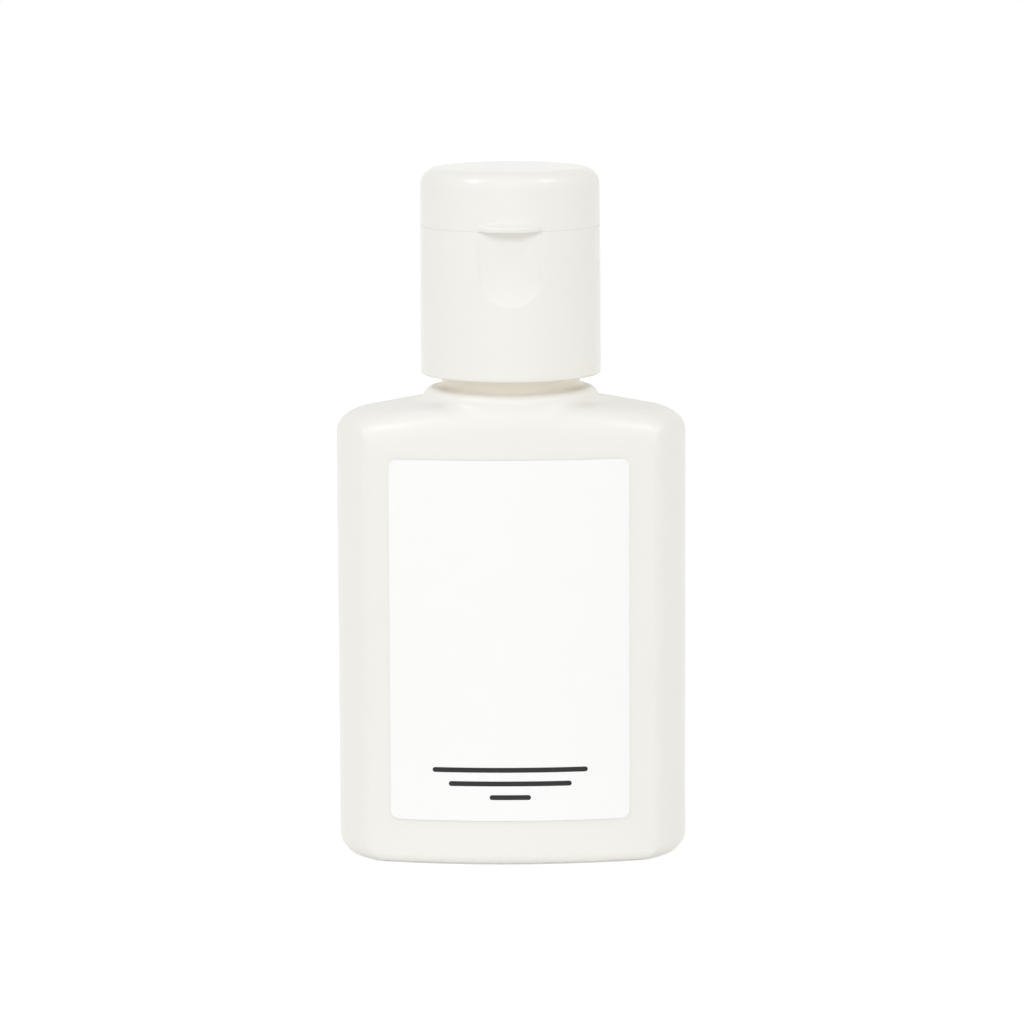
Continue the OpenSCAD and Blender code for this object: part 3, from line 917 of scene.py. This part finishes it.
def add(tree, kind, inputs, **settings):
    """Adds a node with its settings, and fills its inputs with values or other nodes' outputs."""
    node = tree.nodes.new(kind)
    for name, value in settings.items():
        setattr(node, name, value)
    for name, value in inputs.items():
        if isinstance(value, bpy.types.NodeSocket):
            tree.links.new(value, node.inputs[name])
        else:
            node.inputs[name].default_value = value
    return node


def noise(tree, place, size, detail):
    """A cloudy pattern with lumps of one size."""
    inputs = {"Vector": place, "Scale": 1 / size, "Detail": detail}
    return add(tree, "ShaderNodeTexNoise", inputs).outputs[0]


def maths(tree, operation, *values):
    """A step of arithmetic on one or two values."""
    return add(tree, "ShaderNodeMath", dict(enumerate(values)), operation=operation).outputs[0]


def ranged(tree, value, low, high, start=0.0, end=1.0, smooth=False):
    """A value between low and high, for one that runs from start to end."""
    inputs = {"Value": value, "From Min": start, "From Max": end, "To Min": low, "To Max": high}
    shape = "SMOOTHSTEP" if smooth else "LINEAR"
    return add(tree, "ShaderNodeMapRange", inputs, interpolation_type=shape).outputs["Result"]


def mixed(tree, share, one, other):
    """A colour that goes from one to the other as a share goes from 0 to 1."""
    return add(tree, "ShaderNodeMix", {0: share, 6: one, 7: other}, data_type="RGBA").outputs[2]


def bumped(tree, height, strength, depth, normal=None):
    """The normal of a surface with a pattern of heights on it."""
    inputs = {"Strength": strength, "Distance": depth, "Height": height}
    if normal is not None:
        inputs["Normal"] = normal
    return add(tree, "ShaderNodeBump", inputs).outputs["Normal"]


def opaque(rgb, tint=(1, 1, 1)):
    """A colour under a tint, with the fourth number that makes it opaque."""
    return (*[c * t for c, t in zip(rgb, tint)], 1.0)


def new_material(name):
    """A material with no nodes in its tree yet."""
    material = bpy.data.materials.new(name)
    material.use_nodes = True
    material.node_tree.nodes.clear()
    return material


def surface_place(tree):
    """The place of a point on its object, in metres."""
    return add(tree, "ShaderNodeTexCoord", {}).outputs["Object"]


def finish_surface(material, inputs):
    """Ends a material's nodes with the surface itself."""
    tree = material.node_tree
    shader = add(tree, "ShaderNodeBsdfPrincipled", inputs).outputs["BSDF"]
    add(tree, "ShaderNodeOutputMaterial", {"Surface": shader})
    return material


# Thin places in a white plastic are a little darker and warmer
THIN_TINT = (0.99, 0.985, 0.975)


def blown_polyethylene(finish, neck):
    """High-density polyethylene, blow-moulded: soft gloss, faint waves, the mould's seam, and
    painted warm light at the neck.
    """
    material = new_material("Blow-moulded polyethylene")
    tree = material.node_tree
    place = surface_place(tree)
    axes = add(tree, "ShaderNodeSeparateXYZ", {"Vector": place}).outputs
    # The wall cools in the mould with waves about 9 mm long and an orange peel of about 1.2 mm
    waves = noise(tree, place, 9 * MM, 1.0)
    peel = noise(tree, place, 1.2 * MM, 2.0)
    # The mould's halves meet in the plane y = 0 and leave a seam that is 0.32 mm wide at its foot
    off_seam = maths(tree, "ABSOLUTE", axes["Y"])
    seam = ranged(tree, off_seam, 1, 0, end=0.16 * MM, smooth=True)
    normal = bumped(tree, waves, 0.35, 0.03 * MM)
    normal = bumped(tree, peel, 0.25, 0.004 * MM, normal)
    normal = bumped(tree, seam, 0.5, 0.03 * MM, normal)
    # The gloss changes a little with the waves, and so does the tint
    gloss = ranged(tree, waves, 0.285, 0.325)
    tint = mixed(tree, waves, opaque(finish.bottle), opaque(finish.bottle, THIN_TINT))
    # Above the collar the colour is warmer: partly the thick plastic's own tint, partly painted
    # light for the warm light that seeps through it into the shade under the cap
    soft = 0.2 * MM
    bounds = {"start": neck.collar_z - soft, "end": neck.collar_z + soft}
    thick = ranged(tree, axes["Z"], 0, 1, smooth=True, **bounds)
    neck_colour_and_painted_light = mixed(tree, thick, tint, opaque(finish.neck))
    # That shows most in the ring round the bead, next to the collar
    # Painted glow: the lower half of the bead, next to the collar, gives off warm light of its
    # own, which lightens the shaded gap under the cap
    bounds = {"start": neck.collar_z + neck.bead_h / 2, "end": neck.collar_z + neck.bead_h}
    below = ranged(tree, axes["Z"], 1, 0, smooth=True, **bounds)
    ring = maths(tree, "MINIMUM", thick, below)
    bead_painted_glow = mixed(tree, ring, (0, 0, 0, 1), opaque(finish.painted_bead_glow))
    return finish_surface(
        material,
        {
            "Base Color": neck_colour_and_painted_light,
            "Roughness": gloss,
            "IOR": 1.54,
            "Normal": normal,
            "Emission Color": bead_painted_glow,
            "Emission Strength": finish.glow_strength_painted,
        },
    )


def moulded_polypropylene(finish):
    """Polypropylene, injection-moulded in a polished tool: glossier than the bottle."""
    name = "Injection-moulded polypropylene"
    if name in bpy.data.materials:
        return bpy.data.materials[name]
    material = new_material(name)
    tree = material.node_tree
    place = surface_place(tree)
    # Thick and thin places cool apart and leave sinks about 5 mm long
    sinks = noise(tree, place, 5 * MM, 1.0)
    # The polish of the tool changes its gloss over about 0.4 mm
    polish = noise(tree, place, 0.4 * MM, 2.0)
    return finish_surface(
        material,
        {
            "Base Color": mixed(tree, sinks, opaque(finish.cap), opaque(finish.cap, THIN_TINT)),
            "Roughness": ranged(tree, polish, 0.17, 0.19),
            "IOR": 1.49,
            "Normal": bumped(tree, sinks, 0.3, 0.01 * MM),
        },
    )


def label_film(finish, sizes):
    """White polypropylene film, cast and printed: flatter than the bottle, with ink rules and a
    painted glow.
    """
    material = new_material("Cast label film")
    tree = material.node_tree
    place = surface_place(tree)
    axes = add(tree, "ShaderNodeSeparateXYZ", {"Vector": place}).outputs
    # The rules are centred on the label and have round ends
    middle = (label_low.x + label_high.x) / 2
    aside = maths(tree, "ABSOLUTE", maths(tree, "SUBTRACT", axes["X"], middle))
    inked = 0.0
    for number, rule in enumerate(sizes.rules):
        z = label_low.z + sizes.rule_z + (1 - number) * sizes.rule_step
        past = maths(tree, "SUBTRACT", aside, (rule - sizes.rule_h) / 2)
        beyond = maths(tree, "MAXIMUM", past, 0.0)
        above = maths(tree, "SUBTRACT", axes["Z"], z)
        both = add(tree, "ShaderNodeCombineXYZ", {"X": beyond, "Y": above}).outputs[0]
        away = add(tree, "ShaderNodeVectorMath", {0: both}, operation="LENGTH").outputs["Value"]
        on_rule = maths(tree, "LESS_THAN", away, sizes.rule_h / 2)
        inked = maths(tree, "MAXIMUM", inked, on_rule)
    printed = mixed(tree, inked, opaque(finish.label), opaque(finish.ink))
    # The cast film has a tooth of about 0.3 mm
    tooth = noise(tree, place, 0.3 * MM, 2.0)
    return finish_surface(
        material,
        {
            "Base Color": printed,
            "Roughness": ranged(tree, tooth, 0.48, 0.56),
            "IOR": 1.49,
            "Normal": bumped(tree, tooth, 0.15, 0.002 * MM),
            # Painted glow: the film gives off a little light of its own, standing in for an
            # optical brightener, so it is whiter than the bottle
            "Emission Color": printed,
            "Emission Strength": finish.label_painted_glow,
        },
    )


def expanded_foam(finish):
    """Expanded polyethylene foam, cut from sheet: matt, with cells about 0.3 mm across."""
    material = new_material("Expanded polyethylene foam")
    tree = material.node_tree
    inputs = {"Vector": surface_place(tree), "Scale": 1 / (0.3 * MM)}
    cells = add(tree, "ShaderNodeTexVoronoi", inputs).outputs[0]
    # Painted shade: the floors of the cut cells are darker, as their walls shade them
    shade = (0.86, 0.86, 0.86)
    return finish_surface(
        material,
        {
            "Base Color": mixed(tree, cells, opaque(finish.foam, shade), opaque(finish.foam)),
            "Roughness": 0.85,
            "Normal": bumped(tree, cells, 0.6, 0.05 * MM),
        },
    )


def seen_not_lit(tree):
    """1 for what the camera, a gloss or a clear thing sees, and 0 for the light on things."""
    rays = add(tree, "ShaderNodeLightPath", {}).outputs
    seen = maths(tree, "MAXIMUM", rays["Is Camera Ray"], rays["Is Glossy Ray"])
    return maths(tree, "MAXIMUM", seen, rays["Is Transmission Ray"])


def studio_paper(studio):
    """Matt white background paper, which shows white and keeps the bottle's shadow."""
    material = new_material("Matt studio paper")
    tree = material.node_tree
    # The paper's grain is cloudy, with 500 lumps from one side of the floor to the other
    grain = add(tree, "ShaderNodeTexNoise", {"Scale": 500.0, "Detail": 2.0}).outputs[0]
    tint = mixed(tree, grain, opaque(studio.paper_low), opaque(studio.paper_high))
    paper = add(tree, "ShaderNodeBsdfDiffuse", {"Color": tint}).outputs[0]
    glow = add(tree, "ShaderNodeEmission", {"Strength": studio.paper_lift}).outputs[0]
    lifted = add(tree, "ShaderNodeAddShader", {0: paper, 1: glow}).outputs[0]
    inputs = {0: seen_not_lit(tree), 1: paper, 2: lifted}
    both = add(tree, "ShaderNodeMixShader", inputs).outputs[0]
    add(tree, "ShaderNodeOutputMaterial", {"Surface": both})
    return material


def white_studio(studio):
    """Light from all round: dimmer from above, and warmer at the back right than in front."""
    world = bpy.data.worlds.new("White studio")
    world.use_nodes = True
    tree = world.node_tree
    tree.nodes.clear()
    way = add(tree, "ShaderNodeTexCoord", {}).outputs["Generated"]
    up = add(tree, "ShaderNodeSeparateXYZ", {"Vector": way}).outputs["Z"]
    level = ranged(tree, up, studio.horizon, studio.zenith)
    back_right = (0.5, 0.85, 0)
    inputs = {0: way, 1: back_right}
    along = add(tree, "ShaderNodeVectorMath", inputs, operation="DOT_PRODUCT").outputs["Value"]
    back = ranged(tree, along, 0, 1, start=-1)
    tint = mixed(tree, back, opaque(studio.front_tint), opaque(studio.back_tint))
    walls = add(tree, "ShaderNodeBackground", {"Color": tint, "Strength": level}).outputs[0]
    inputs = {"Color": (1, 1, 1, 1), "Strength": 1.0}
    white = add(tree, "ShaderNodeBackground", inputs).outputs[0]
    inputs = {0: seen_not_lit(tree), 1: walls, 2: white}
    both = add(tree, "ShaderNodeMixShader", inputs).outputs[0]
    add(tree, "ShaderNodeOutputWorld", {"Surface": both})
    return world


def add_lamp(name, studio, aside, rise, side, power):
    """A square softbox at an angle from the camera and above the horizon, facing the bottle."""
    level = math.cos(rise)
    away = Vector((math.sin(aside) * level, -math.cos(aside) * level, math.sin(rise)))
    light = bpy.data.lights.new(name, "AREA")
    light.shape = "SQUARE"
    light.size = side
    light.energy = power
    lamp = bpy.data.objects.new(name, light)
    lamp.location = Vector((0, 0, studio.target)) + away * studio.lamp_far
    lamp.rotation_euler = away.to_track_quat("Z", "Y").to_euler()
    bpy.context.scene.collection.objects.link(lamp)
    return lamp


def add_camera(studio):
    """A long lens in front of the label, a little above the shoulders."""
    back = Vector((0, -math.cos(studio.rise), math.sin(studio.rise)))
    camera = bpy.data.objects.new("Camera", bpy.data.cameras.new("Camera"))
    camera.data.lens = studio.lens
    camera.data.clip_start = 10 * MM
    # The photograph's frame lies a little off the camera's axis
    camera.data.shift_x = studio.aside
    camera.data.shift_y = -studio.down
    camera.location = Vector((0, 0, studio.target)) + back * studio.distance
    roll = Quaternion((0, 0, 1), studio.roll)
    camera.rotation_mode = "QUATERNION"
    camera.rotation_quaternion = back.to_track_quat("Z", "Y") @ roll
    bpy.context.scene.collection.objects.link(camera)
    bpy.context.scene.camera = camera


class BOTTLE_OT_studio(Operator):
    """Set up the floor, three softboxes, the light all round and the camera"""

    bl_idname = "bottle.studio"
    bl_label = "Studio"

    def execute(self, context):
        studio = context.scene.bottle_studio
        bm = bmesh.new()
        bmesh.ops.create_grid(bm, x_segments=1, y_segments=1, size=studio.floor)
        bmesh.ops.translate(bm, vec=(0, 0, -studio.floor_drop), verts=bm.verts)
        floor = piece(bm, "studio_floor", studio_paper(studio))
        aside, rise, side = studio.lamp_aside, studio.lamp_rise, studio.lamp_side
        add_lamp("Left softbox", studio, -aside, rise, side, studio.left)
        add_lamp("Right softbox", studio, aside, rise, side, studio.right)
        # Its diffuser is too even to glint in the plastic
        front = (studio.front_aside, studio.front_rise, studio.front_side, studio.front)
        add_lamp("Front softbox", studio, *front).visible_glossy = False
        add_camera(studio)
        context.scene.world = white_studio(studio)
        context.scene.view_settings.view_transform = "Standard"
        return {"FINISHED"}


class BOTTLE_PT_build(Panel):
    """Builds the bottle's pieces one by one"""

    bl_idname = "BOTTLE_PT_build"
    bl_label = "Lotion bottle"
    bl_space_type = "VIEW_3D"
    bl_region_type = "UI"
    bl_category = "Bottle"

    def draw(self, context):
        for operator in STEPS:
            self.layout.operator(operator.bl_idname)


STEPS = (
    BOTTLE_OT_body,
    BOTTLE_OT_threads,
    BOTTLE_OT_cap_base,
    BOTTLE_OT_lid,
    BOTTLE_OT_hinge,
    BOTTLE_OT_label,
    BOTTLE_OT_washer,
    BOTTLE_OT_studio,
)
GROUPS = {
    "bottle_body": BodySizes,
    "bottle_neck": NeckSizes,
    "bottle_label": LabelSizes,
    "bottle_cap": CapSizes,
    "bottle_lid": LidSizes,
    "bottle_finish": Finishes,
    "bottle_studio": StudioSizes,
}


def register():
    for group in GROUPS.values():
        bpy.utils.register_class(group)
    for name, group in GROUPS.items():
        setattr(bpy.types.Scene, name, PointerProperty(type=group))
    for made in (*STEPS, BOTTLE_PT_build):
        bpy.utils.register_class(made)


def unregister():
    for made in (BOTTLE_PT_build, *reversed(STEPS)):
        bpy.utils.unregister_class(made)
    for name in GROUPS:
        delattr(bpy.types.Scene, name)
    for group in reversed(GROUPS.values()):
        bpy.utils.unregister_class(group)


def main():
    """Registers the add-on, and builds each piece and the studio."""
    register()
    bpy.ops.bottle.body()
    bpy.ops.bottle.threads()
    bpy.ops.bottle.cap_base()
    bpy.ops.bottle.lid()
    bpy.ops.bottle.hinge()
    bpy.ops.bottle.label()
    bpy.ops.bottle.washer()
    bpy.ops.bottle.studio()


if __name__ == "__main__":
    main()
